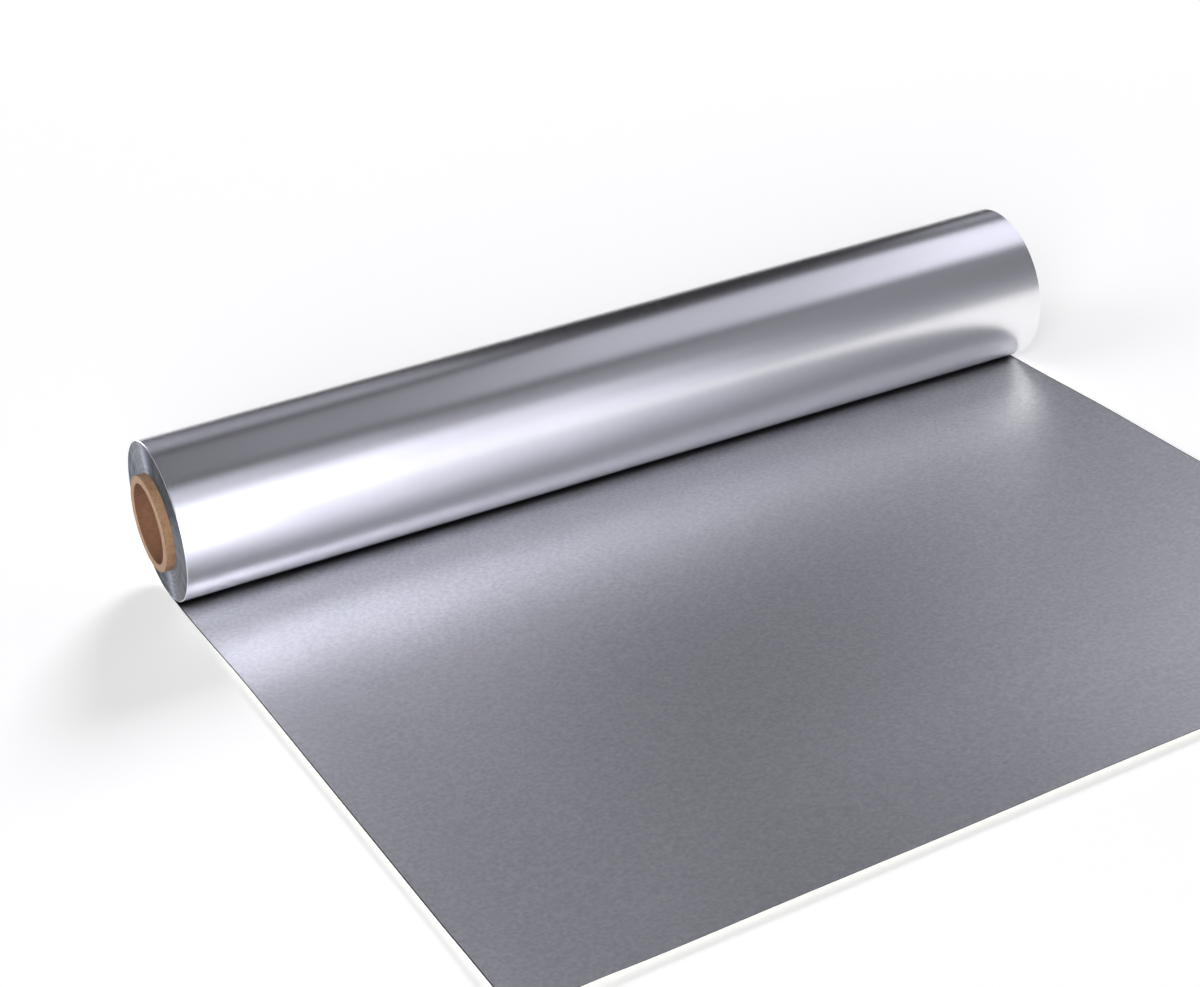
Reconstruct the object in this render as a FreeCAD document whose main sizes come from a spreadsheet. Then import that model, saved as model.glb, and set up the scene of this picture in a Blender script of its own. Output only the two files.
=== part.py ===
"""A catering roll of aluminium foil, partly drawn off its paperboard core.

Two pieces. The foil is one web: it is wound on the core, leaves the roll along the bottom
and lies on the table in front of it, with its loose end cut a little askew. The core is a
paperboard tube, a few millimetres longer than the foil is wide, with a plain bore.

Millimetres. The roll's axis runs along X and +Z is up. The origin is on the table, under the
middle of the roll, and the drawn-off sheet runs towards -Y.
"""

import enum
import math
import os

import FreeCAD, Part
import Sketcher


class Point(enum.IntEnum):
    """The points of a line or an arc, as a sketch numbers them."""

    START = enum.auto()
    END = enum.auto()
    CENTRE = enum.auto()


class OwnAxis(enum.IntEnum):
    """The axes that every sketch has. The horizontal one starts at the sketch's origin."""

    HORIZONTAL = -1
    VERTICAL = -2


START, END, CENTRE = Point
ORIGIN, VERTICAL_AXIS = OwnAxis

# The driving dimensions: alias, value in millimetres or degrees, meaning.
SIZES = [
    ("foil_width", 457.2, "width of the web, 18 inches"),
    ("roll_diameter", 76.2, "over the outermost turn"),
    ("foil_gauge", 0.3, "thickness the web is drawn with, the real foil is about 0.02"),
    ("flat_spot_width", 5.0, "where the roll's own weight flattens it on the table"),
    ("sheet_reach", 359.5, "drawn-off length, from under the roll to the cut, at mid width"),
    ("cut_angle", 3.1, "slant of the cut end, in degrees, longer on the left"),
    ("rim_width", 0.9, "plain outer turns, flush with the web's edges"),
    ("turn_pitch", 0.8, "step from one ridge of wound turns to the next"),
    ("turn_depth", 0.16, "how far the turns wander sideways"),
    ("rim_depth", 0.12, "how far the ridges' crests lie behind the rim"),
    ("core_bore", 38.1, "inner diameter of the tube, 1.5 inches"),
    ("core_wall", 3.8, "thickness of the tube's wall"),
    ("core_overhang", 4.5, "how far the tube stands out of the foil, each end"),
    ("core_bevel", 0.4, "broken edge at the tube's cut ends"),
]

# Sizes that several features share, written once as expressions on the cells.
ROLL_RADIUS = "Sizes.roll_diameter / 2"
CORE_RADIUS = "(Sizes.core_bore / 2 + Sizes.core_wall)"
AXIS_HEIGHT = "sqrt((Sizes.roll_diameter / 2) ^ 2 - (Sizes.flat_spot_width / 2) ^ 2)"
SLANT = "tan(Sizes.cut_angle * 1 deg)"


def add_sizes(doc):
    """The spreadsheet that holds the driving dimensions."""
    sheet = doc.addObject("Spreadsheet::Sheet", "Sizes")
    for row, (alias, value, meaning) in enumerate(SIZES, start=1):
        sheet.set(f"A{row}", str(value))
        sheet.setAlias(f"A{row}", alias)
        sheet.set(f"B{row}", meaning)
    doc.recompute()
    return sheet


def add_sketch(body, name, plane):
    """An empty sketch on one of the body's own origin planes."""
    sketch = body.newObject("Sketcher::SketchObject", name)
    support = next(f for f in body.Origin.OriginFeatures if f.Role == plane)
    sketch.AttachmentSupport = (support, [""])
    sketch.MapMode = "FlatFace"
    return sketch


def number(sketch, expression):
    """The value that an expression on the cells has now."""
    value = sketch.evalExpression(expression)
    return float(getattr(value, "Value", value))


def bind(sketch, kind, arguments, expression):
    """A dimension whose value follows an expression on the cells."""
    index = sketch.addConstraint(
        Sketcher.Constraint(kind, *arguments, number(sketch, expression))
    )
    sketch.setExpression(f"Constraints[{index}]", expression)


def add_polygon(sketch, corners):
    """A closed outline whose corners, pairs of expressions, are each tied to the cells."""
    points = [FreeCAD.Vector(number(sketch, u), number(sketch, v), 0) for u, v in corners]
    count = len(points)
    for i in range(count):
        sketch.addGeometry(Part.LineSegment(points[i], points[(i + 1) % count]))
    for i in range(count):
        sketch.addConstraint(Sketcher.Constraint("Coincident", i, END, (i + 1) % count, START))
    for i, (u, v) in enumerate(corners):
        bind(sketch, "DistanceX", (ORIGIN, START, i, START), u)
        bind(sketch, "DistanceY", (ORIGIN, START, i, START), v)


def add_web_profile(body):
    """Section across the roll: the flat spot, the rear and front of the outer turn, the sheet.

    The rear half and the front half are half circles whose centres lie half a gauge apart, so
    that the outermost turn comes round to lie on top of the sheet that it turned into.
    """
    sketch = add_sketch(body, "web_profile", "YZ_Plane")
    radius = number(sketch, ROLL_RADIUS)
    axis = number(sketch, AXIS_HEIGHT)
    gauge = number(sketch, "Sizes.foil_gauge")
    spot = number(sketch, "Sizes.flat_spot_width / 2")
    reach_expression = f"Sizes.sheet_reach + abs({SLANT}) * Sizes.foil_width"
    reach = number(sketch, reach_expression)

    front_radius = radius - gauge / 2
    front_axis = axis + gauge / 2
    nip = -math.sqrt(front_radius**2 - (front_axis - gauge) ** 2)
    vec, up = FreeCAD.Vector, FreeCAD.Vector(0, 0, 1)

    underside = sketch.addGeometry(Part.LineSegment(vec(-reach, 0, 0), vec(spot, 0, 0)))
    rear = sketch.addGeometry(
        Part.ArcOfCircle(
            Part.Circle(vec(0, axis, 0), up, radius), math.atan2(-axis, spot), math.pi / 2
        )
    )
    front = sketch.addGeometry(
        Part.ArcOfCircle(
            Part.Circle(vec(0, front_axis, 0), up, front_radius),
            math.pi / 2,
            math.atan2(gauge - front_axis, nip) + 2 * math.pi,
        )
    )
    top = sketch.addGeometry(Part.LineSegment(vec(nip, gauge, 0), vec(-reach, gauge, 0)))
    end = sketch.addGeometry(Part.LineSegment(vec(-reach, gauge, 0), vec(-reach, 0, 0)))

    loop = [underside, rear, front, top, end]
    for first, second in zip(loop, loop[1:] + loop[:1]):
        sketch.addConstraint(Sketcher.Constraint("Coincident", first, END, second, START))
    sketch.addConstraint(
        [
            Sketcher.Constraint("Horizontal", underside),
            Sketcher.Constraint("Horizontal", top),
            Sketcher.Constraint("Vertical", end),
            Sketcher.Constraint("PointOnObject", underside, END, ORIGIN),
            Sketcher.Constraint("PointOnObject", rear, CENTRE, VERTICAL_AXIS),
            Sketcher.Constraint("PointOnObject", rear, END, VERTICAL_AXIS),
            Sketcher.Constraint("PointOnObject", front, CENTRE, VERTICAL_AXIS),
        ]
    )
    bind(sketch, "Radius", (rear,), ROLL_RADIUS)
    bind(sketch, "Radius", (front,), f"{ROLL_RADIUS} - Sizes.foil_gauge / 2")
    bind(sketch, "DistanceX", (ORIGIN, START, underside, END), "Sizes.flat_spot_width / 2")
    bind(sketch, "DistanceX", (underside, START, ORIGIN, START), reach_expression)
    bind(sketch, "DistanceY", (end, END, end, START), "Sizes.foil_gauge")
    return sketch


def add_circles(body, name, radii):
    """Circles about the roll's axis, seen along it."""
    sketch = add_sketch(body, name, "YZ_Plane")
    axis = number(sketch, AXIS_HEIGHT)
    for radius in radii:
        centre = FreeCAD.Vector(0, axis, 0)
        circle = sketch.addGeometry(
            Part.Circle(centre, FreeCAD.Vector(0, 0, 1), number(sketch, radius))
        )
        bind(sketch, "Radius", (circle,), radius)
        sketch.addConstraint(
            Sketcher.Constraint("PointOnObject", circle, CENTRE, VERTICAL_AXIS)
        )
        bind(sketch, "DistanceY", (ORIGIN, START, circle, CENTRE), AXIS_HEIGHT)
    return sketch


def add_turns_profile(body):
    """Half of a lengthwise section: the saw-toothed sliver that bares the turns at one end."""
    sketch = add_sketch(body, "turns_profile", "XZ_Plane")
    inner = f"{AXIS_HEIGHT} + {CORE_RADIUS}"
    span = f"({ROLL_RADIUS} - Sizes.rim_width - {CORE_RADIUS})"
    ridges = max(1, round(number(sketch, f"{span} / Sizes.turn_pitch")))
    rim = "Sizes.foil_width / 2"
    crest = f"{rim} - Sizes.rim_depth"
    valley = f"{crest} - Sizes.turn_depth"
    corners = []
    for step in range(2 * ridges + 1):
        height = f"{inner} + {span} * {step / (2 * ridges)}"
        corners.append((crest if step % 2 else valley, height))
    corners.append((rim, f"{inner} + {span}"))
    corners.append((rim, inner))
    add_polygon(sketch, corners)
    start = FreeCAD.Vector(0, number(sketch, AXIS_HEIGHT), 0)
    end = start + FreeCAD.Vector(number(sketch, rim), 0, 0)
    axis = sketch.addGeometry(Part.LineSegment(start, end), True)
    sketch.addConstraint(
        [
            Sketcher.Constraint("Horizontal", axis),
            Sketcher.Constraint("PointOnObject", axis, START, VERTICAL_AXIS),
        ]
    )
    bind(sketch, "DistanceX", (axis, START, axis, END), rim)
    bind(sketch, "DistanceY", (ORIGIN, START, axis, START), AXIS_HEIGHT)
    return sketch


def add_foil(doc):
    """The web: wound turns and drawn-off sheet, one solid."""
    body = doc.addObject("PartDesign::Body", "foil")
    body.Label = "foil"

    web = body.newObject("PartDesign::Pad", "web")
    web.Profile = add_web_profile(body)
    web.SideType = "Symmetric"
    web.setExpression("Length", "Sizes.foil_width")
    doc.recompute()

    cut_end = add_sketch(body, "cut_end_profile", "XY_Plane")
    past_edge = "Sizes.foil_width"
    far = f"-2 * (Sizes.sheet_reach + abs({SLANT}) * Sizes.foil_width)"
    add_polygon(
        cut_end,
        [
            (f"-{past_edge}", f"-(Sizes.sheet_reach + {SLANT} * {past_edge})"),
            (f"-{past_edge}", far),
            (past_edge, far),
            (past_edge, f"-(Sizes.sheet_reach - {SLANT} * {past_edge})"),
        ],
    )
    trim = body.newObject("PartDesign::Pocket", "cut_end")
    trim.Profile = cut_end
    trim.SideType = "Symmetric"
    trim.setExpression("Length", "4 * Sizes.foil_gauge")
    doc.recompute()

    hole = body.newObject("PartDesign::Pocket", "core_hole")
    hole.Profile = add_circles(body, "core_hole_profile", [CORE_RADIUS])
    hole.SideType = "Symmetric"
    hole.setExpression("Length", "2 * Sizes.foil_width")
    doc.recompute()

    turns_profile = add_turns_profile(body)
    turns = body.newObject("PartDesign::Groove", "turns")
    turns.Profile = turns_profile
    turns.ReferenceAxis = (turns_profile, ["Axis0"])
    turns.Angle = 360.0
    doc.recompute()

    far_turns = body.newObject("PartDesign::Mirrored", "far_turns")
    far_turns.Originals = [turns]
    middle = next(f for f in body.Origin.OriginFeatures if f.Role == "YZ_Plane")
    far_turns.MirrorPlane = (middle, [""])
    body.Tip = far_turns
    doc.recompute()
    return body


def add_core(doc):
    """The paperboard tube that the foil is wound on."""
    body = doc.addObject("PartDesign::Body", "core")
    body.Label = "core"

    tube = body.newObject("PartDesign::Pad", "tube")
    tube.Profile = add_circles(body, "tube_profile", [CORE_RADIUS, "Sizes.core_bore / 2"])
    tube.SideType = "Symmetric"
    tube.setExpression("Length", "Sizes.foil_width + 2 * Sizes.core_overhang")
    doc.recompute()

    rims = [
        f"Edge{i}"
        for i, edge in enumerate(tube.Shape.Edges, start=1)
        if isinstance(edge.Curve, Part.Circle)
    ]
    bevel = body.newObject("PartDesign::Chamfer", "cut_ends")
    bevel.Base = (tube, rims)
    bevel.setExpression("Size", "Sizes.core_bevel")
    doc.recompute()
    return body


def check(doc, bodies):
    """Stops the script if a feature failed or a piece isn't one valid solid."""
    for item in doc.Objects:
        failed = {"Invalid", "Error"} & set(item.State)
        if failed:
            raise RuntimeError(f"{item.Label} is {sorted(failed)}")
    for body in bodies:
        shape = body.Shape
        if shape.isNull() or not shape.isValid() or len(shape.Solids) != 1:
            raise RuntimeError(f"{body.Label} isn't one valid solid")


def write(bodies):
    """Writes each piece to parts/, under its own name."""
    os.makedirs("parts", exist_ok=True)
    for body in bodies:
        body.Shape.exportStep(f"parts/{body.Label}.step")
        shape = body.Shape
        print(body.Label, "volume", round(shape.Volume, 1), "mm3, faces", len(shape.Faces))


doc = FreeCAD.newDocument("foil_roll")
add_sizes(doc)
pieces = [add_foil(doc), add_core(doc)]
doc.recompute()
check(doc, pieces)
write(pieces)
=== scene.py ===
"""A catering roll of aluminium foil on its paperboard core, with a length of sheet drawn off.

Everything is in metres in the frame of the solids: the roll's axis runs along X, +Z is up, the
origin is on the table under the middle of the roll, and the drawn-off sheet runs towards -Y.
Sizes are held in millimetres and turned to metres where a mesh is made.
"""

import enum
import logging
import math
from dataclasses import dataclass, field
from typing import Any, Optional, Sequence

import bmesh
import bpy
import numpy as np
from mathutils import Matrix, Vector

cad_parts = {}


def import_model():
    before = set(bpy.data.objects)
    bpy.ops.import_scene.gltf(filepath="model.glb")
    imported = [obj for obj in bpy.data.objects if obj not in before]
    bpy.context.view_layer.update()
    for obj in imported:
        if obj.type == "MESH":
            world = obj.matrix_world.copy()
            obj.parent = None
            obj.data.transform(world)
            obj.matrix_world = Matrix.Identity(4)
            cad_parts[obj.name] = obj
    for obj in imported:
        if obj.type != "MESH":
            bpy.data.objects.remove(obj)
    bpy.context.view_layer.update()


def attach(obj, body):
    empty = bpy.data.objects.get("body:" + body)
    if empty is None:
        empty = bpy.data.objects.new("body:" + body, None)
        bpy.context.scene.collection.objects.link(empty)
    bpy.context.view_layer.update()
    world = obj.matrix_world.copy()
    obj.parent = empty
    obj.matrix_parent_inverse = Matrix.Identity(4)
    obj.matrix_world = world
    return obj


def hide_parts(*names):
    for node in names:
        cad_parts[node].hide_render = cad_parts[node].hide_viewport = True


LOG = logging.getLogger("foil_roll")
MM = 0.001
WEB_MAP = "web"
# Nearly all of a noise texture's values lie between these two.
NOISE_LOW, NOISE_HIGH = 0.3, 0.7


class Slot(enum.Enum):
    """The record's material slots."""

    FOIL = "foil"
    PAPERBOARD = "paperboard"


class Side(enum.IntEnum):
    """The two ends of the roll, by the sign of X."""

    LEFT = -1
    RIGHT = 1


class Wall(enum.IntEnum):
    """The two walls of the tube, by the way that they face from the axis."""

    INNER = -1
    OUTER = 1


class Coord(enum.Enum):
    """What a pattern is laid out on."""

    OBJECT = "Object"
    UV = "UV"


class Lights(enum.Enum):
    """What a lamp acts on."""

    METAL = "metal"
    MATT = "matt"


class RollFinish(enum.IntEnum):
    """The finishes of the wound turns, by their place in the list."""

    OUTER_TURN = 0
    SLIT_EDGES = 1


class SheetFinish(enum.IntEnum):
    """The finishes of the sheet, by their place in the list."""

    TOP = 0
    UNDERSIDE = 1
    EDGE = 2


class TubeFinish(enum.IntEnum):
    """The finishes of the tube, by their place in the list."""

    OUTER = 0
    SAWN = 1
    LINER = 2


def linear(code: str) -> tuple[float, float, float, float]:
    """Turns an sRGB hex colour into linear light.

    Args:
        code: Six hex digits after a hash sign.

    Returns:
        Red, green, blue and an alpha of one.
    """
    parts = [int(code[i : i + 2], 16) / 255 for i in (1, 3, 5)]
    light = [p / 12.92 if p <= 0.04045 else ((p + 0.055) / 1.055) ** 2.4 for p in parts]
    return (*light, 1.0)


def per_metre(pitch_mm: float) -> float:
    """The scale that repeats a pattern once in so many millimetres, on coordinates in metres."""
    return 1.0 / (pitch_mm * MM)


@dataclass
class Nodes:
    """The node tree of a material or of the world.

    Args:
        owner: The new material or world.
    """

    owner: Any

    def __post_init__(self) -> None:
        """Empties the tree."""
        self.owner.use_nodes = True
        self.owner.node_tree.nodes.clear()

    def add(
        self,
        kind: str,
        inputs: Optional[dict] = None,
        stops: Sequence[tuple[float, Any]] = (),
        **settings: Any,
    ) -> bpy.types.Node:
        """Adds a node, sets it up and joins its inputs.

        Args:
            kind: The node's type, without the ShaderNode at its start.
            inputs: What goes into each socket, by name or number: a value, or a node's output.
            stops: A colour ramp's stops, each a place from 0 to 1 with a linear colour.
            settings: The node's own properties.

        Returns:
            The new node.
        """
        node = self.owner.node_tree.nodes.new(f"ShaderNode{kind}")
        for key, value in settings.items():
            setattr(node, key, value)
        elements = node.color_ramp.elements if stops else ()
        while len(elements) < len(stops):
            elements.new(0.5)
        for element, (place, colour) in zip(elements, stops):
            element.position = place
            element.color = colour
        for key, value in (inputs or {}).items():
            if isinstance(value, bpy.types.NodeSocket):
                self.owner.node_tree.links.new(value, node.inputs[key])
            else:
                node.inputs[key].default_value = value
        return node

    def finish(self, surface: bpy.types.NodeSocket) -> Any:
        """Joins a shader to the output and returns the material or the world."""
        self.add(f"Output{type(self.owner).__name__}", {"Surface": surface})
        return self.owner


@dataclass(frozen=True)
class BrightFoil:
    """Aluminium foil, the side that ran against the polished mill roll.

    It gives broad soft-edged reflections. Rolling lines run along the web, round the roll, and
    widen the reflections along the roll's axis.

    Args:
        name: The material's name.
        colour: The colour of bare aluminium.
        roughness: The middle roughness.
        roughness_spread: How much rougher or smoother a line may be.
        anisotropy: How much wider the reflections are along the axis.
        line_pitch_mm: How far apart the rolling lines are.
        line_length_mm: How long they are.
        line_depth_mm: How deep they are.
    """

    name: str = "aluminium_foil_bright_rolled"
    colour: str = "#F6F6F7"
    roughness: float = 0.26
    roughness_spread: float = 0.01
    anisotropy: float = 0.35
    line_pitch_mm: float = 1.1  # real rolling lines are 0.05 mm apart, too fine to show
    line_length_mm: float = 90.0
    line_depth_mm: float = 0.0012

    def build(self) -> bpy.types.Material:
        """Makes the material.

        Returns:
            The material. Its UV map holds metres: along the axis, and along the web.
        """
        nodes = Nodes(bpy.data.materials.new(self.name))
        place = nodes.add("TexCoord").outputs[Coord.UV.value]
        stretch = nodes.add(
            "Mapping",
            {"Vector": place, "Scale": (per_metre(self.line_pitch_mm), per_metre(self.line_length_mm), 1)},
        )
        lines = nodes.add(
            "TexNoise", {"Vector": stretch.outputs["Vector"], "Scale": 1.0, "Detail": 3.0, "Roughness": 0.6}
        )
        rough = nodes.add(
            "MapRange",
            {
                "Value": lines.outputs["Fac"],
                "From Min": NOISE_LOW,
                "From Max": NOISE_HIGH,
                "To Min": self.roughness - self.roughness_spread,
                "To Max": self.roughness + self.roughness_spread,
            },
        )
        bump = nodes.add("Bump", {"Height": lines.outputs["Fac"], "Distance": self.line_depth_mm * MM})
        tangent = nodes.add("Tangent", direction_type="UV_MAP", uv_map=WEB_MAP)
        quarter_turn = 0.25
        shader = nodes.add(
            "BsdfPrincipled",
            {
                "Base Color": linear(self.colour),
                "Metallic": 1.0,
                "Roughness": rough.outputs["Result"],
                "Anisotropic": self.anisotropy,
                "Anisotropic Rotation": quarter_turn,
                "Normal": bump.outputs["Normal"],
                "Tangent": tangent.outputs["Tangent"],
            },
        )
        return nodes.finish(shader.outputs["BSDF"])


@dataclass(frozen=True)
class MatteFoil:
    """Aluminium foil, the side that ran against its twin web in the last pass of the mill.

    It scatters light more than the bright side, and has a fine mottled grain. Close to the roll its colour
    is darkened: painted shade for the narrow gap under the roll, where hardly any light comes back out.

    Args:
        name: The material's name.
        light: The colour of the grain's pale spots.
        dark: The colour of its dark ones.
        roughness: The middle roughness.
        roughness_spread: How much rougher or smoother a spot may be.
        grain_mm: The size of the coarse grain.
        grain_depth_mm: Its depth.
        fine_grain_mm: The size of the fine grain.
        fine_depth_mm: Its depth.
        wedge_mm: How far from the roll's foot the painted shade of the gap is darkest, and where it ends.
        wedge_shade: How much of its colour the sheet keeps where that painted shade is darkest.
    """

    name: str = "aluminium_foil_matte_rolled"
    light: str = "#F7F7F8"
    dark: str = "#E2E2E4"
    roughness: float = 0.38
    roughness_spread: float = 0.04
    grain_mm: float = 1.9  # real grain is some hundredths of a millimetre across, too fine to show
    grain_depth_mm: float = 0.026
    fine_grain_mm: float = 0.7
    fine_depth_mm: float = 0.006
    wedge_mm: tuple[float, float] = (12.0, 18.5)
    wedge_shade: float = 0.1

    def build(self) -> bpy.types.Material:
        """Makes the material.

        Returns:
            The material, on object coordinates.
        """
        nodes = Nodes(bpy.data.materials.new(self.name))
        place = nodes.add("TexCoord").outputs[Coord.OBJECT.value]
        grain = nodes.add(
            "TexNoise",
            {"Vector": place, "Scale": per_metre(self.grain_mm), "Detail": 2.0, "Roughness": 0.55},
        )
        fine = nodes.add(
            "TexNoise", {"Vector": place, "Scale": per_metre(self.fine_grain_mm), "Detail": 1.0}
        )
        colour = nodes.add(
            "ValToRGB",
            {"Fac": grain.outputs["Fac"]},
            stops=[(NOISE_LOW, linear(self.dark)), (NOISE_HIGH, linear(self.light))],
        )
        # Painted shade: the sheet's colour darkens towards the roll's foot, standing for the dark gap under
        # the roll.
        painted_gap_shade = nodes.add(
            "MapRange",
            {
                "Value": nodes.add("SeparateXYZ", {"Vector": place}).outputs["Y"],
                "From Min": -self.wedge_mm[1] * MM,
                "From Max": -self.wedge_mm[0] * MM,
                "To Min": 1.0,
                "To Max": self.wedge_shade,
            },
            interpolation_type="SMOOTHSTEP",
        )
        painted_shade_colour = nodes.add(
            "VectorMath",
            {"Vector": colour.outputs["Color"], "Scale": painted_gap_shade.outputs["Result"]},
            operation="SCALE",
        )
        rough = nodes.add(
            "MapRange",
            {
                "Value": fine.outputs["Fac"],
                "From Min": NOISE_LOW,
                "From Max": NOISE_HIGH,
                "To Min": self.roughness - self.roughness_spread,
                "To Max": self.roughness + self.roughness_spread,
            },
        )
        coarse_bump = nodes.add(
            "Bump", {"Height": grain.outputs["Fac"], "Distance": self.grain_depth_mm * MM}
        )
        bump = nodes.add(
            "Bump",
            {
                "Height": fine.outputs["Fac"],
                "Distance": self.fine_depth_mm * MM,
                "Normal": coarse_bump.outputs["Normal"],
            },
        )
        shader = nodes.add(
            "BsdfPrincipled",
            {
                "Base Color": painted_shade_colour.outputs["Vector"],
                "Metallic": 1.0,
                "Roughness": rough.outputs["Result"],
                "Normal": bump.outputs["Normal"],
            },
        )
        return nodes.finish(shader.outputs["BSDF"])


@dataclass(frozen=True)
class ShearedEdge:
    """A dark finish for the sheet's cut edges and the narrow strips along its sides: painted shade along
    the edges, together with the burr that the blade left.

    Args:
        name: The material's name.
        colour: Its one plain tone, dark so as to paint the shade along the edges.
        roughness: How rough the blade left it.
    """

    name: str = "aluminium_foil_edge_painted_shade"
    colour: str = "#47484E"
    roughness: float = 0.6

    def build(self) -> bpy.types.Material:
        """Makes the material.

        Returns:
            The material, a rough metal without a pattern.
        """
        nodes = Nodes(bpy.data.materials.new(self.name))
        shader = nodes.add(
            "BsdfPrincipled",
            {"Base Color": linear(self.colour), "Metallic": 1.0, "Roughness": self.roughness},
        )
        return nodes.finish(shader.outputs["BSDF"])


@dataclass(frozen=True)
class SlitFoilEdges:
    """The slit edges of some eight hundred turns, side by side.

    Like a turned face, they spread light into fans across the turns, and where the web was wound
    unevenly faint streaks run out from the core.

    Args:
        name: The material's name.
        colour: The colour of the edges.
        gap_colour: The colour of the gaps between them.
        roughness: How rough the slitting knives left them.
        anisotropy: How narrow the fans of light are.
        turn_pitch_mm: How far apart the rings are.
        turn_run_mm: How far round the roll a ring keeps its shade.
        turn_step_mm: How much one ring stands out from the next.
        streak_mm: How wide the streaks are.
        streak_run_mm: How long they are.
        streak_share: How much of the shading is theirs.
        shades: The values of the two patterns together at which the shade is darkest and palest.
    """

    name: str = "aluminium_foil_slit_turns"
    colour: str = "#A9ADB6"
    gap_colour: str = "#666B74"
    roughness: float = 0.6
    anisotropy: float = 1.0
    turn_pitch_mm: float = 0.45  # real turns are 0.019 mm apart, too fine to show
    turn_run_mm: float = 60.0
    turn_step_mm: float = 0.03
    streak_mm: float = 9.0
    streak_run_mm: float = 40.0
    streak_share: float = 0.5
    shades: tuple[float, float] = (0.35, 0.62)

    def build(self) -> bpy.types.Material:
        """Makes the material.

        Returns:
            The material. Its UV map holds metres: out from the axis, and round the roll.
        """
        nodes = Nodes(bpy.data.materials.new(self.name))
        place = nodes.add("TexCoord").outputs[Coord.UV.value]
        rings = nodes.add(
            "Mapping",
            {"Vector": place, "Scale": (per_metre(self.turn_pitch_mm), per_metre(self.turn_run_mm), 1)},
        )
        turns = nodes.add(
            "TexNoise", {"Vector": rings.outputs["Vector"], "Scale": 1.0, "Detail": 3.0, "Roughness": 0.6}
        )
        spokes = nodes.add(
            "Mapping",
            {"Vector": place, "Scale": (per_metre(self.streak_run_mm), per_metre(self.streak_mm), 1)},
        )
        streaks = nodes.add(
            "TexNoise", {"Vector": spokes.outputs["Vector"], "Scale": 1.0, "Detail": 4.0, "Roughness": 0.65}
        )
        both = nodes.add(
            "Mix",
            {"Factor": self.streak_share, 2: turns.outputs["Fac"], 3: streaks.outputs["Fac"]},
            data_type="FLOAT",
        )
        colour = nodes.add(
            "ValToRGB",
            {"Fac": both.outputs[0]},
            stops=[(self.shades[0], linear(self.gap_colour)), (self.shades[1], linear(self.colour))],
        )
        bump = nodes.add("Bump", {"Height": turns.outputs["Fac"], "Distance": self.turn_step_mm * MM})
        tangent = nodes.add("Tangent", direction_type="UV_MAP", uv_map=WEB_MAP)
        shader = nodes.add(
            "BsdfPrincipled",
            {
                "Base Color": colour.outputs["Color"],
                "Metallic": 1.0,
                "Roughness": self.roughness,
                "Anisotropic": self.anisotropy,
                "Normal": bump.outputs["Normal"],
                "Tangent": tangent.outputs["Tangent"],
            },
        )
        return nodes.finish(shader.outputs["BSDF"])


@dataclass(frozen=True)
class Paperboard:
    """Recycled paperboard, spirally wound and glued into a tube.

    It is matt and brown, mottled with fibres, and each of its faces has a tone of its own; the inner
    liner's darker tone is partly its own and partly painted shade inside the bore.

    Args:
        name: The material's name.
        light: The colour of its pale fibres.
        dark: The colour of its dark ones.
        fibre_mm: The width of the fibre bundles.
        stretch: How much longer they are than they are wide.
        fibre_depth_mm: How deep they are.
        lay: The angle in degrees at which they lie on the tube.
        blotch_mm: The size of the cloudy patches.
        blotch_share: How much of the shading is theirs.
        roughness: The roughness.
        sheen: The specular level, low as on unglazed board.
    """

    name: str
    light: str
    dark: str
    fibre_mm: float = 0.9
    stretch: float = 3.0
    fibre_depth_mm: float = 0.06
    lay: float = 35.0
    blotch_mm: float = 5.0
    blotch_share: float = 0.3
    roughness: float = 0.86
    sheen: float = 0.25

    def build(self) -> bpy.types.Material:
        """Makes the material.

        Returns:
            The material, on its UV map in metres.
        """
        nodes = Nodes(bpy.data.materials.new(self.name))
        place = nodes.add("TexCoord").outputs[Coord.UV.value]
        laid = nodes.add(
            "Mapping",
            {
                "Vector": place,
                "Rotation": (0, 0, math.radians(self.lay)),
                "Scale": (per_metre(self.fibre_mm * self.stretch), per_metre(self.fibre_mm), 1),
            },
        )
        fibre = nodes.add(
            "TexNoise", {"Vector": laid.outputs["Vector"], "Scale": 1.0, "Detail": 5.0, "Roughness": 0.65}
        )
        blotch = nodes.add("TexNoise", {"Vector": place, "Scale": per_metre(self.blotch_mm), "Detail": 2.0})
        both = nodes.add(
            "Mix",
            {"Factor": self.blotch_share, 2: fibre.outputs["Fac"], 3: blotch.outputs["Fac"]},
            data_type="FLOAT",
        )
        colour = nodes.add(
            "ValToRGB",
            {"Fac": both.outputs[0]},
            stops=[(NOISE_LOW, linear(self.dark)), (NOISE_HIGH, linear(self.light))],
        )
        bump = nodes.add("Bump", {"Height": fibre.outputs["Fac"], "Distance": self.fibre_depth_mm * MM})
        shader = nodes.add(
            "BsdfPrincipled",
            {
                "Base Color": colour.outputs["Color"],
                "Roughness": self.roughness,
                "Specular IOR Level": self.sheen,
                "Normal": bump.outputs["Normal"],
            },
        )
        return nodes.finish(shader.outputs["BSDF"])


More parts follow.
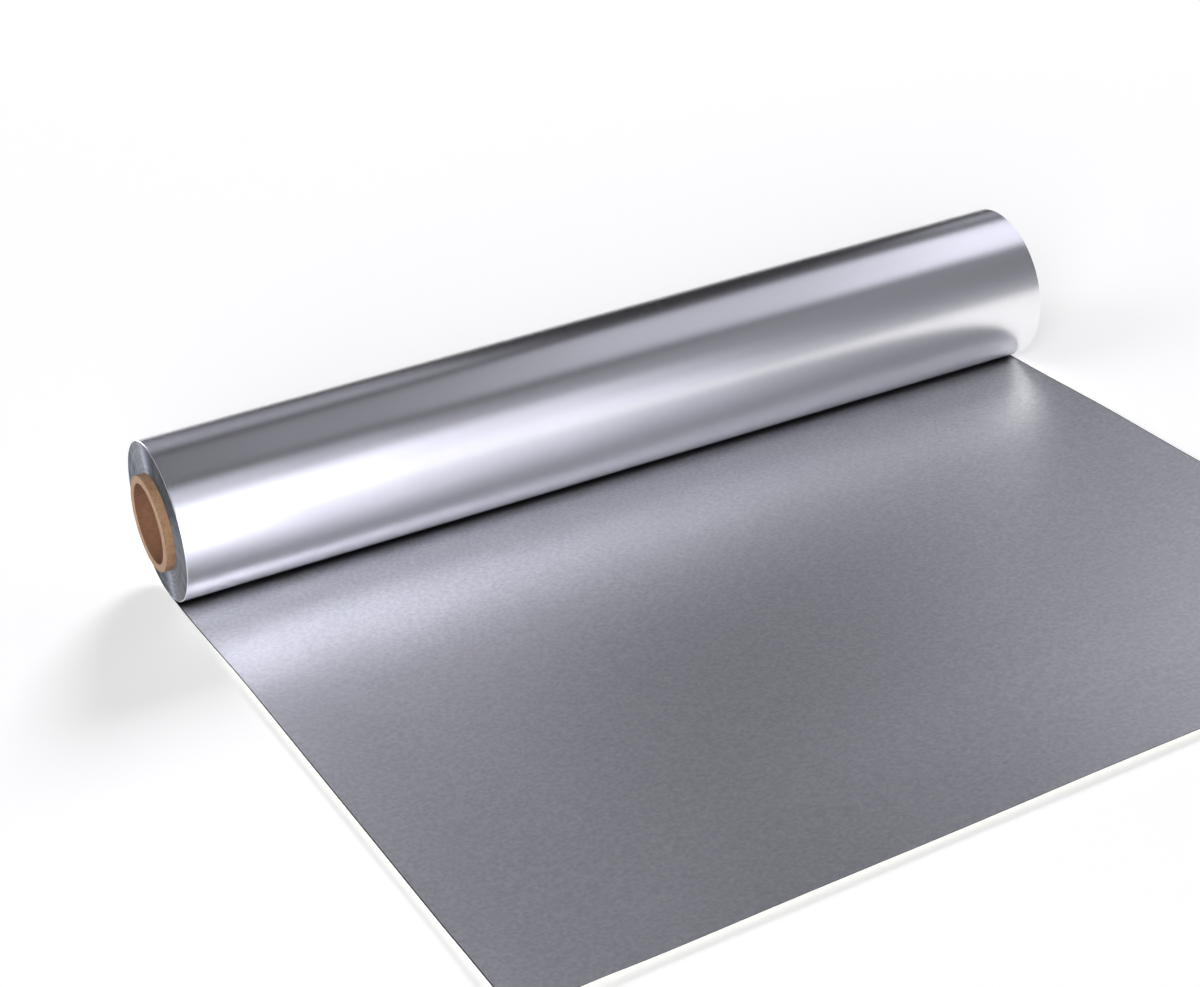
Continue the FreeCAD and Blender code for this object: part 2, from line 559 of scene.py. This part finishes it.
@dataclass(frozen=True)
class PaleTable:
    """A plain white table top, matt enough to show no reflections.

    Args:
        name: The material's name.
        colour: Its colour, a little warm against the lamps' cool light.
        lift: How much white is added where the camera or the foil sees it.
    """

    name: str = "pale_table_top"
    colour: str = "#FBFBF1"
    lift: float = 0.25

    def build(self) -> bpy.types.Material:
        """Makes the material.

        Returns:
            The material: matt white, a little brighter where it is seen or mirrored.
        """
        nodes = Nodes(bpy.data.materials.new(self.name))
        shader = nodes.add("BsdfDiffuse", {"Color": linear(self.colour)})
        rays = nodes.add("LightPath")
        mirrored = nodes.add(
            "Math",
            {0: rays.outputs["Is Glossy Ray"], 1: rays.outputs["Is Transmission Ray"]},
            operation="MAXIMUM",
        )
        seen = nodes.add(
            "Math", {0: rays.outputs["Is Camera Ray"], 1: mirrored.outputs[0]}, operation="MAXIMUM"
        )
        strength = nodes.add("Math", {0: seen.outputs[0], 1: self.lift}, operation="MULTIPLY")
        glow = nodes.add("Emission", {"Color": linear("#FFFFFF"), "Strength": strength.outputs[0]})
        both = nodes.add("AddShader", {0: shader.outputs[0], 1: glow.outputs[0]})
        return nodes.finish(both.outputs[0])


@dataclass
class Shell:
    """A closed mesh, sewn together from rectangular grids of points.

    Args:
        name: The piece's name.
        crease: The angle in degrees above which an edge stays sharp.
        weld_mm: How close two points are to be made one.
        points: The points of each grid so far, in millimetres.
        faces: The faces of each grid, as four numbers of points.
        maps: The map coordinates of each grid's face corners, in millimetres.
        finishes: The finish of each grid's faces.
    """

    name: str
    crease: float = 30.0
    weld_mm: float = 0.002
    points: list[np.ndarray] = field(default_factory=list)
    faces: list[np.ndarray] = field(default_factory=list)
    maps: list[np.ndarray] = field(default_factory=list)
    finishes: list[np.ndarray] = field(default_factory=list)

    def add(
        self, points: np.ndarray, across: np.ndarray, along: np.ndarray, finish: int, closed: bool = False
    ) -> None:
        """Adds one grid.

        Args:
            points: Rows by columns by three, in millimetres.
            across: The first map coordinate of each column, in millimetres.
            along: The second one of each row, with one more for a closed grid's last row of faces.
            finish: The number of its material.
            closed: Whether the last row joins the first.
        """
        rows, columns = points.shape[:2]
        base = sum(len(p) for p in self.points)
        self.points.append(points.reshape(-1, 3))
        r, c = np.meshgrid(np.arange(rows if closed else rows - 1), np.arange(columns - 1), indexing="ij")
        this = r * columns + c
        after = (r + 1) % rows * columns + c
        quads = np.stack([this, this + 1, after + 1, after], -1)
        u = np.stack([across[c], across[c + 1], across[c + 1], across[c]], -1)
        v = np.stack([along[r], along[r], along[r + 1], along[r + 1]], -1)
        self.faces.append(quads.reshape(-1, 4) + base)
        self.maps.append(np.stack([u, v], -1).reshape(-1, 2))
        self.finishes.append(np.full(quads.size // 4, int(finish)))

    def build(self, materials: Sequence[bpy.types.Material]) -> bpy.types.Object:
        """Makes the object, with its grids sewn together and its faces turned outwards.

        Args:
            materials: The materials that the grids' finishes count through.

        Returns:
            The object, at the origin.
        """
        points = np.concatenate(self.points) * MM
        mesh = bpy.data.meshes.new(self.name)
        mesh.from_pydata(points.tolist(), [], np.concatenate(self.faces).tolist())
        layer = mesh.uv_layers.new(name=WEB_MAP)
        layer.data.foreach_set("uv", (np.concatenate(self.maps) * MM).ravel())
        for material in materials:
            mesh.materials.append(material)
        mesh.polygons.foreach_set("material_index", np.concatenate(self.finishes))
        mesh.polygons.foreach_set("use_smooth", np.ones(len(mesh.polygons), bool))
        sewn = bmesh.new()
        sewn.from_mesh(mesh)
        bmesh.ops.remove_doubles(sewn, verts=sewn.verts, dist=self.weld_mm * MM)
        bmesh.ops.recalc_face_normals(sewn, faces=sewn.faces)
        sewn.to_mesh(mesh)
        sewn.free()
        mesh.set_sharp_from_angle(angle=math.radians(self.crease))
        piece = bpy.data.objects.new(self.name, mesh)
        bpy.context.scene.collection.objects.link(piece)
        return piece


def turned(x: np.ndarray, radius: np.ndarray, axis: float, segments: int) -> np.ndarray:
    """Points of a surface of revolution about the roll's axis.

    Args:
        x: The place of each column along the axis.
        radius: The radius of each column, or of each point.
        axis: The axis's height. Nothing goes below the table.
        segments: How many rows it has, from the bottom round by the front.

    Returns:
        Rows by columns by three.
    """
    turn = np.arange(segments)[:, None] * 2 * math.pi / segments
    y = -radius * np.sin(turn)
    z = np.maximum(axis - radius * np.cos(turn), 0.0)
    return np.stack([np.broadcast_to(x, y.shape), y, z], -1)


def round_map(radius: float, segments: int) -> np.ndarray:
    """The distance round a circle at each row, and back at the first."""
    return np.arange(segments + 1) * 2 * math.pi * radius / segments


def ripple(u: np.ndarray, v: np.ndarray, length_mm: float, seed: int, waves: int = 7) -> np.ndarray:
    """A smooth random field, from -1 to 1 or so, made of a few sine waves.

    Args:
        u: The first coordinate, in millimetres.
        v: The second one.
        length_mm: The middle wave length.
        seed: Which field it is.
        waves: How many waves it adds up.

    Returns:
        The field at each point.
    """
    rng = np.random.default_rng(seed)
    total = np.zeros(np.broadcast(u, v).shape)
    for _ in range(waves):
        turn = rng.uniform(0, 2 * math.pi)
        length = length_mm * rng.uniform(0.6, 1.7)
        phase = rng.uniform(0, 2 * math.pi)
        total += np.sin(2 * math.pi * (u * math.cos(turn) + v * math.sin(turn)) / length + phase)
    return total / math.sqrt(waves)


@dataclass
class FoilRoll:
    """The web: its wound turns, and the sheet that is drawn off them.

    Args:
        width: The web's width.
        radius: The radius of the wound turns.
        core_radius: The outer radius of the core inside them.
        gauge: The sheet's thickness, more than the real one so that it can be made.
        flat_spot: The width of the flat spot that the roll rests on.
        reach: How far the sheet's cut end is from under the axis, half way along it.
        cut_angle: How far askew the cut is, in degrees.
        rim: The radius of the rounded edge at either end of the outermost turn.
        support: How far past the rim the first ring of points stands that keeps its shading clean.
        turn_depth: How far the edges of the turns stand back from the rim.
        turns_shown: How many rings of edges there are.
        drift_step: How much the rings' slow drift changes from one ring to the next.
        drift_share: How much of turn_depth a drift of one takes up.
        segments: How many points go round the roll.
        stations: How many go along it.
        wander: How far the outermost turn strays from a true cylinder, and a ring from a flat one.
        calm: How far in from its rims that starts.
        lift: How high the sheet's edges lift.
        lift_width: How far in from the edge that starts.
        wave_height: How high the faint waves in its middle are.
        burr: How wide the dark strip along each side is: painted shade along the cut edge, together with
            the burr that the slitting knives left.
        sheet_columns: How many points go across the sheet between those strips.
        sheet_rows: How many go along it.
    """

    width: float = 457.2
    radius: float = 38.1
    core_radius: float = 22.85
    gauge: float = 0.3
    flat_spot: float = 5.0
    reach: float = 359.5
    cut_angle: float = 3.1
    rim: float = 0.3
    support: float = 0.15
    turn_depth: float = 0.2
    turns_shown: int = 58
    drift_step: float = 0.35
    drift_share: float = 0.35
    segments: int = 240
    stations: int = 150
    wander: float = 0.03
    calm: float = 25.0
    lift: float = 2.4
    lift_width: float = 70.0
    wave_height: float = 0.45
    burr: float = 0.4
    sheet_columns: int = 140
    sheet_rows: int = 120

    @property
    def axis(self) -> float:
        """The height of the roll's axis, which its flat spot lowers a little."""
        return math.sqrt(self.radius**2 - (self.flat_spot / 2) ** 2)

    def barrel(self, mesh: Shell) -> None:
        """Makes the outermost turn, with its two rounded rims.

        Args:
            mesh: What it goes into.
        """
        half = self.width / 2
        bend = np.radians(np.linspace(0, 90, 7))
        inset = np.append(self.rim * (1 - np.cos(bend)), self.rim + self.support)
        drop = np.append(self.rim * (1 - np.sin(bend)), 0.0)
        inner = half - 3 * self.rim
        x = np.concatenate([-half + inset, np.linspace(-inner, inner, self.stations), half - inset[::-1]])
        low = np.concatenate([drop, np.zeros(self.stations), drop[::-1]])
        along = round_map(self.radius, self.segments)
        arc = along[:-1, None]
        dents = ripple(x, arc, length_mm=95.0, seed=3)
        # Tension lines are the same kind of field, stretched five times along the web.
        tension = ripple(x, arc * 0.2, length_mm=38.0, seed=4)
        wave = dents + 0.5 * tension
        fade = np.clip((inner - np.abs(x)) / self.calm, 0, 1)
        # The flat spot and what is next to it stay true, up to a tenth or so of the radius.
        clear_of_foot = np.clip((1 - np.cos(arc / self.radius)) / 0.12, 0, 1)
        radius = self.radius - low + self.wander * wave * fade * clear_of_foot
        outer = turned(x, radius, self.axis, self.segments)
        mesh.add(outer, x, along, RollFinish.OUTER_TURN, closed=True)

    def slit_face(self, mesh: Shell, side: Side) -> None:
        """Makes the bared edges of the turns at one end, some of which stand a hair further out.

        Args:
            mesh: What it goes into.
            side: Which end it is.
        """
        rng = np.random.default_rng(11 + side)
        radii = np.linspace(self.core_radius - self.gauge, self.radius - self.rim, self.turns_shown)
        drift = np.cumsum(rng.normal(0, self.drift_step, self.turns_shown))
        drift -= np.linspace(drift[0], drift[-1], self.turns_shown)
        scatter = rng.uniform(0.15, 1.0, self.turns_shown)
        inset = self.turn_depth * (self.drift_share * np.abs(drift) + scatter)
        along = round_map(self.radius, self.segments)
        sway = self.wander * ripple(along[:-1, None] * 0.5, radii, length_mm=24.0, seed=5 + side)
        # The first and the last ring meet the bore and the rim, so they stay in place.
        free = np.array([0.0] + [1.0] * (self.turns_shown - 2) + [0.0])
        x = side * (self.width / 2 - (inset + sway) * free)
        face = turned(x, radii[None, :], self.axis, self.segments)
        mesh.add(face, radii, along, RollFinish.SLIT_EDGES, closed=True)

    def bore(self, mesh: Shell) -> None:
        """Makes the innermost turn, which is glued to the core.

        Args:
            mesh: What it goes into.
        """
        x = np.linspace(-self.width / 2, self.width / 2, 12)
        radius = np.full((1, len(x)), self.core_radius - self.gauge)
        inner = turned(x, radius, self.axis, self.segments)
        along = round_map(self.radius, self.segments)
        mesh.add(inner, x, along, RollFinish.SLIT_EDGES, closed=True)

    def wound_turns(self, bright: bpy.types.Material, edges: bpy.types.Material) -> bpy.types.Object:
        """Builds the roll itself.

        Args:
            bright: The finish of the outermost turn.
            edges: The finish of the slit ends.

        Returns:
            The roll's object.
        """
        mesh = Shell("wound_turns")
        self.barrel(mesh)
        self.bore(mesh)
        for side in Side:
            self.slit_face(mesh, side)
        return mesh.build([bright, edges])

    def sheet_height(self, x: np.ndarray, y: np.ndarray, reach: np.ndarray) -> np.ndarray:
        """How high the sheet's underside lies above the table.

        Its left and front edges lift a little, the right one half as much, and the rest has
        faint waves. It lies flat where it leaves the roll.

        Args:
            x: Along the axis.
            y: Across it, negative.
            reach: How far the sheet goes at each x.

        Returns:
            The height in millimetres.
        """
        half = self.width / 2
        flat_run, rising_run = 20.0, 90.0
        away = np.clip((-y - flat_run) / rising_run, 0, 1)
        away = away * away * (3 - 2 * away)
        left = np.clip(1 - (x + half) / self.lift_width, 0, 1) ** 2
        right = np.clip(1 - (half - x) / self.lift_width, 0, 1) ** 2 * 0.5
        front = np.clip(1 - (reach + y) / self.lift_width, 0, 1) ** 2
        # At the corners two edges' lifts add up, to a fifth more than one of them at most.
        rise = self.lift * np.minimum(left + right + front, 1.2)
        wave = 0.5 + 0.3 * ripple(x, y, length_mm=160.0, seed=21)
        return away * (rise + self.wave_height * np.clip(wave, 0, 1.2))

    def drawn_sheet(self, finishes: Sequence[bpy.types.Material]) -> bpy.types.Object:
        """Builds the sheet, from under the roll to its cut end.

        Args:
            finishes: Those of its top, its underside and its edges.

        Returns:
            The sheet's object.
        """
        half = self.width / 2
        inner = np.linspace(self.burr - half, half - self.burr, self.sheet_columns)
        x = np.concatenate([[-half], inner, [half]])
        reach = self.reach - math.tan(math.radians(self.cut_angle)) * x
        y = -np.linspace(0, 1, self.sheet_rows)[:, None] * reach
        xx = np.broadcast_to(x, y.shape)
        under = self.sheet_height(xx, y, np.broadcast_to(reach, y.shape))
        top = np.stack([xx, y, under + self.gauge], -1)
        bottom = np.stack([xx, y, under], -1)
        along = -y[:, len(x) // 2]
        thick = np.array([0, self.gauge])
        mesh = Shell("drawn_sheet")
        # The outermost strips of the top take the dark edge finish: painted shade along the cut edges, with
        # their burr.
        left_burr_and_shade, middle, right_burr_and_shade = slice(0, 2), slice(1, len(x) - 1), slice(len(x) - 2, len(x))
        for columns, finish in (
            (left_burr_and_shade, SheetFinish.EDGE),
            (middle, SheetFinish.TOP),
            (right_burr_and_shade, SheetFinish.EDGE),
        ):
            mesh.add(top[:, columns], x[columns], along, finish)
        mesh.add(bottom, x, along, SheetFinish.UNDERSIDE)
        for column in (0, -1):
            mesh.add(np.stack([top[:, column], bottom[:, column]], 1), thick, along, SheetFinish.EDGE)
        for row in (0, -1):
            mesh.add(np.stack([top[row], bottom[row]], 1), thick, x, SheetFinish.EDGE)
        return mesh.build(finishes)

    def build(self) -> list[bpy.types.Object]:
        """Builds and dresses the roll and the sheet.

        Returns:
            Both pieces.
        """
        bright = BrightFoil().build()
        roll = self.wound_turns(bright, SlitFoilEdges().build())
        # The sheet's edges take the dark finish, which paints shade along them.
        sheet = self.drawn_sheet([MatteFoil().build(), bright, ShearedEdge().build()])
        for piece in (roll, sheet):
            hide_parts("foil")
            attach(piece, "root")
        return [roll, sheet]


@dataclass
class CoreTube:
    """The paperboard tube that the foil is wound on.

    Args:
        foil_width: The width of the web on it.
        bore_radius: The radius of its bore.
        wall: The thickness of its wall.
        overhang: How far it stands out of the roll at each end.
        bevel: How far its edges are broken.
        axis: The height of its axis.
        segments: How many points go round it.
        stations: How many go along it.
        ply_pitch: How far the seam of the outermost ply moves along in one turn.
        seam_depth: How deep that seam is.
        seam_width: How far it reaches to either side.
        ply_gauge: The thickness of one ply.
        ply_step: How far the saw left the plies apart.
        tear: How ragged the cut is.
    """

    foil_width: float = FoilRoll.width
    bore_radius: float = 19.05
    wall: float = 3.8
    overhang: float = 4.5
    bevel: float = 0.4
    axis: float = FoilRoll().axis
    segments: int = 144
    stations: int = 200
    ply_pitch: float = 62.0
    seam_depth: float = 0.22
    seam_width: float = 1.1
    ply_gauge: float = 0.76
    ply_step: float = 0.07
    tear: float = 0.05

    @property
    def half(self) -> float:
        """Half the tube's length."""
        return self.foil_width / 2 + self.overhang

    def wall_face(self, mesh: Shell, wall: Wall, radius: float, finish: TubeFinish) -> None:
        """Makes a wall, with the shallow spiral seam between its plies.

        Args:
            mesh: What it goes into.
            wall: Whether it is the inner or the outer one.
            radius: The wall's radius.
            finish: The number of its material.
        """
        end = self.half - self.bevel
        x = np.linspace(-end, end, self.stations)
        along = round_map(radius, self.segments)
        phase = (x / self.ply_pitch - along[:-1, None] / along[-1]) % 1.0
        gap = np.minimum(phase, 1 - phase) * self.ply_pitch
        # The seam runs out in the last millimetre, so that the cut ring stays round.
        fade = np.clip(end - np.abs(x), 0, 1)
        groove = self.seam_depth * np.exp(-((gap / self.seam_width) ** 2)) * fade
        face = turned(x, radius - wall * groove, self.axis, self.segments)
        mesh.add(face, x, along, finish, closed=True)

    def cut_end(self, mesh: Shell, side: Side) -> None:
        """Makes the cut ring at one end: two broken edges, and plies a hair apart between them.

        Args:
            mesh: What it goes into.
            side: Which end it is.
        """
        outer = self.bore_radius + self.wall
        flat = np.linspace(self.bore_radius + self.bevel, outer - self.bevel, 15)
        radii = np.concatenate([[self.bore_radius], flat, [outer]])
        ply = self.ply_step * (0.5 + 0.5 * np.cos(2 * math.pi * (flat - self.bore_radius) / self.ply_gauge))
        inset = np.concatenate([[self.bevel], ply, [self.bevel]])
        along = round_map(outer, self.segments)
        ragged = self.tear * np.abs(ripple(along[:-1, None], radii * 3, length_mm=7.0, seed=31 + side))
        ragged[:, [0, -1]] = 0.0
        x = side * (self.half - inset - ragged)
        ring = turned(x, radii[None, :], self.axis, self.segments)
        mesh.add(ring, radii, along, TubeFinish.SAWN, closed=True)

    def build(self) -> list[bpy.types.Object]:
        """Builds and dresses the tube.

        Returns:
            A list that holds just the tube.
        """
        mesh = Shell("core_tube")
        self.wall_face(mesh, Wall.OUTER, self.bore_radius + self.wall, TubeFinish.OUTER)
        for side in Side:
            self.cut_end(mesh, side)
        self.wall_face(mesh, Wall.INNER, self.bore_radius, TubeFinish.LINER)
        wound = Paperboard("paperboard_spiral_wound", "#C49F7B", "#7F5C3E", fibre_mm=0.55, stretch=2.0)
        sawn = Paperboard("paperboard_sawn_end", "#C4A588", "#9B7F62", fibre_mm=0.4, stretch=6.0)
        # The liner is darker than the wound face: partly its own tone, partly painted shade inside the
        # bore.
        liner_and_bore_shade = Paperboard("paperboard_inner_liner_and_painted_shade", "#946D55", "#79553C")
        tube = mesh.build([wound.build(), sawn.build(), liner_and_bore_shade.build()])
        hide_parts("core")
        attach(tube, "root")
        return [tube]


@dataclass(frozen=True)
class SoftBox:
    """A rectangular lamp that faces the roll.

    Args:
        name: The lamp's name.
        place: Its middle, in metres.
        size: How far it runs along X, and the other way, in metres.
        radiance: How bright its face is, where 1 shows as white.
        lights: METAL for a lamp that shows in the foil alone, and MATT for one that lights the
            table and the paperboard and isn't mirrored.
        tint: The colour of its light.
        aim: What it faces, in metres.
    """

    name: str
    place: tuple[float, float, float]
    size: tuple[float, float]
    radiance: float
    lights: Lights = Lights.METAL
    tint: str = "#F0F0FF"
    aim: tuple[float, float, float] = (0.0, -0.05, 0.03)

    def build(self) -> None:
        """Makes the lamp, which the camera itself doesn't see."""
        lamp = bpy.data.lights.new(self.name, "AREA")
        lamp.shape = "RECTANGLE"
        lamp.size, lamp.size_y = self.size
        lamp.energy = self.radiance * math.pi * self.size[0] * self.size[1]
        lamp.color = linear(self.tint)[:3]
        box = bpy.data.objects.new(self.name, lamp)
        box.location = self.place
        facing = (Vector(self.place) - Vector(self.aim)).normalized()
        wide = (Vector((1.0, 0.0, 0.0)) - facing * facing.x).normalized()
        turn = Matrix((wide, facing.cross(wide), facing)).transposed()
        box.rotation_euler = turn.to_euler()
        box.visible_camera = False
        box.visible_glossy = self.lights is Lights.METAL
        box.visible_diffuse = self.lights is Lights.MATT
        bpy.context.scene.collection.objects.link(box)


@dataclass
class PhotoCamera:
    """The photo's view, found by fitting the outline of the roll and the sheet.

    Args:
        place_mm: Where it stands.
        yaw: How far it is turned from looking along +Y, in degrees, positive to the left.
        pitch: How far it looks down.
        roll: How far it is tipped.
        focal_px: Its focal length in pixels of the photo.
        photo_width_px: The photo's width.
        sensor_mm: The sensor's width.
    """

    place_mm: tuple[float, float, float] = (-510.98, -1093.477, 594.306)
    yaw: float = -24.74366
    pitch: float = 26.81622
    roll: float = -5.00518
    focal_px: float = 2740.01
    photo_width_px: float = 1200.0
    sensor_mm: float = 36.0

    def build(self) -> None:
        """Makes the camera and looks through it."""
        yaw, pitch, roll = (math.radians(angle) for angle in (self.yaw, self.pitch, self.roll))
        forward = Vector(
            (-math.sin(yaw) * math.cos(pitch), math.cos(yaw) * math.cos(pitch), -math.sin(pitch))
        )
        level = Vector((math.cos(yaw), math.sin(yaw), 0))
        up = level.cross(forward)
        right = math.cos(roll) * level + math.sin(roll) * up
        over = -math.sin(roll) * level + math.cos(roll) * up
        data = bpy.data.cameras.new("photo_view")
        data.sensor_fit = "HORIZONTAL"
        data.sensor_width = self.sensor_mm
        data.lens = self.focal_px / self.photo_width_px * self.sensor_mm
        data.clip_start, data.clip_end = 0.05, 50.0
        camera = bpy.data.objects.new("photo_view", data)
        turn = Matrix((right, over, -forward)).transposed().to_4x4()
        camera.matrix_world = Matrix.Translation(Vector(self.place_mm) * MM) @ turn
        bpy.context.scene.collection.objects.link(camera)
        bpy.context.scene.camera = camera


@dataclass
class Studio:
    """The table, the light and the camera.

    Args:
        room: How bright the room is in front and behind, where 1 shows as white.
        wall: How bright the walls at either side are.
        table_half: Half the table top's width, in metres.
        table_drop_mm: How far it lies under the sheet, so that the two faces don't coincide.
        boxes: The lamps. The METAL ones, overhead, in front and behind, give the foil its bands
            of light. The MATT ones at the sides light the table and the core, and throw the
            shadows.
    """

    room: float = 0.015
    wall: float = 0.32
    table_half: float = 6.0
    table_drop_mm: float = 0.05
    boxes: tuple[SoftBox, ...] = (
        SoftBox("overhead_far_right", (1.15, 0.2, 1.25), (0.5, 1.3), 1.14),
        SoftBox("overhead_right", (0.7, 0.2, 1.3), (0.45, 1.3), 0.55),
        SoftBox("overhead_middle", (0.25, 0.15, 1.3), (0.45, 1.1), 0.24),
        SoftBox("front_top_left", (0.0, -0.85, 1.15), (0.5, 0.5), 0.73),
        SoftBox("front_top_right", (0.7, -0.85, 1.15), (0.9, 0.5), 0.22),
        SoftBox("front_high_left", (0.15, -1.2, 0.75), (0.3, 0.5), 1.45),
        SoftBox("front_high_middle", (0.45, -1.2, 0.75), (0.3, 0.5), 0.87),
        SoftBox("front_high_right", (0.95, -1.2, 0.75), (0.7, 0.5), 0.21),
        SoftBox("front_low_far_left", (-0.15, -1.3, 0.26), (0.3, 0.48), 20.0),
        SoftBox("front_low_left", (0.15, -1.3, 0.26), (0.3, 0.48), 0.62),
        SoftBox("front_low_middle", (0.45, -1.3, 0.26), (0.3, 0.48), 1.11),
        SoftBox("front_low_right", (0.95, -1.3, 0.26), (0.7, 0.48), 0.31),
        SoftBox("back_middle_far_left", (-0.25, 1.25, 0.62), (0.4, 0.5), 4.36),
        SoftBox("back_middle_left", (0.15, 1.25, 0.65), (0.5, 0.4), 0.26),
        SoftBox("back_middle_right", (1.35, 1.2, 0.7), (0.7, 0.5), 0.45),
        SoftBox("back_middle_far_right", (1.9, 1.0, 0.8), (0.6, 0.6), 1.83),
        SoftBox("back_high_left", (0.2, 1.15, 1.05), (0.6, 0.4), 0.38),
        SoftBox("back_far_left", (-0.3, 1.35, 0.25), (0.35, 0.45), 11.0),
        SoftBox("side_left", (-5.0, 0.6, 3.0), (3.4, 3.4), 1.95, Lights.MATT),
        SoftBox("side_back_right", (3.3, 4.0, 3.2), (1.8, 1.8), 23.0, Lights.MATT),
        SoftBox("side_front_left", (-2.9, -4.8, 2.4), (3.2, 3.2), 9.7, Lights.MATT),
    )

    def table(self) -> None:
        """Makes the table top."""
        far = self.table_half
        level = -self.table_drop_mm * MM
        mesh = bpy.data.meshes.new("table_top")
        square = [(-far, -far, level), (far, -far, level), (far, far, level), (-far, far, level)]
        mesh.from_pydata(square, [], [(0, 1, 2, 3)])
        mesh.materials.append(PaleTable().build())
        top = bpy.data.objects.new("table_top", mesh)
        bpy.context.scene.collection.objects.link(top)

    def surroundings(self) -> None:
        """Sets the room: a pale wall at either side, and little light in front and behind."""
        nodes = Nodes(bpy.data.worlds.new("room"))
        way = nodes.add("SeparateXYZ", {"Vector": nodes.add("TexCoord").outputs["Generated"]})
        across = nodes.add(
            "MapRange", {"Value": way.outputs["X"], "From Min": -1.0, "From Max": 1.0}
        )
        # Places from the left wall, 0, to the right one, 1.
        levels = ((0.28, self.wall), (0.42, self.room), (0.82, self.room), (0.94, self.wall))
        light = nodes.add(
            "ValToRGB",
            {"Fac": across.outputs["Result"]},
            stops=[(place, (level, level, level, 1.0)) for place, level in levels],
        )
        back = nodes.add("Background", {"Color": light.outputs["Color"], "Strength": 1.0})
        bpy.context.scene.world = nodes.finish(back.outputs["Background"])

    def build(self) -> None:
        """Sets up the whole studio."""
        PhotoCamera().build()
        self.table()
        self.surroundings()
        for box in self.boxes:
            box.build()
        bpy.context.scene.view_settings.view_transform = "Standard"


def main() -> None:
    """Builds the scene and logs how many faces each piece has."""
    logging.basicConfig(level=logging.INFO, format="%(name)s: %(message)s")
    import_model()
    Studio().build()
    for part in (FoilRoll(), CoreTube()):
        for piece in part.build():
            LOG.info("%s: %d faces", piece.name, len(piece.data.polygons))


if __name__ == "__main__":
    main()
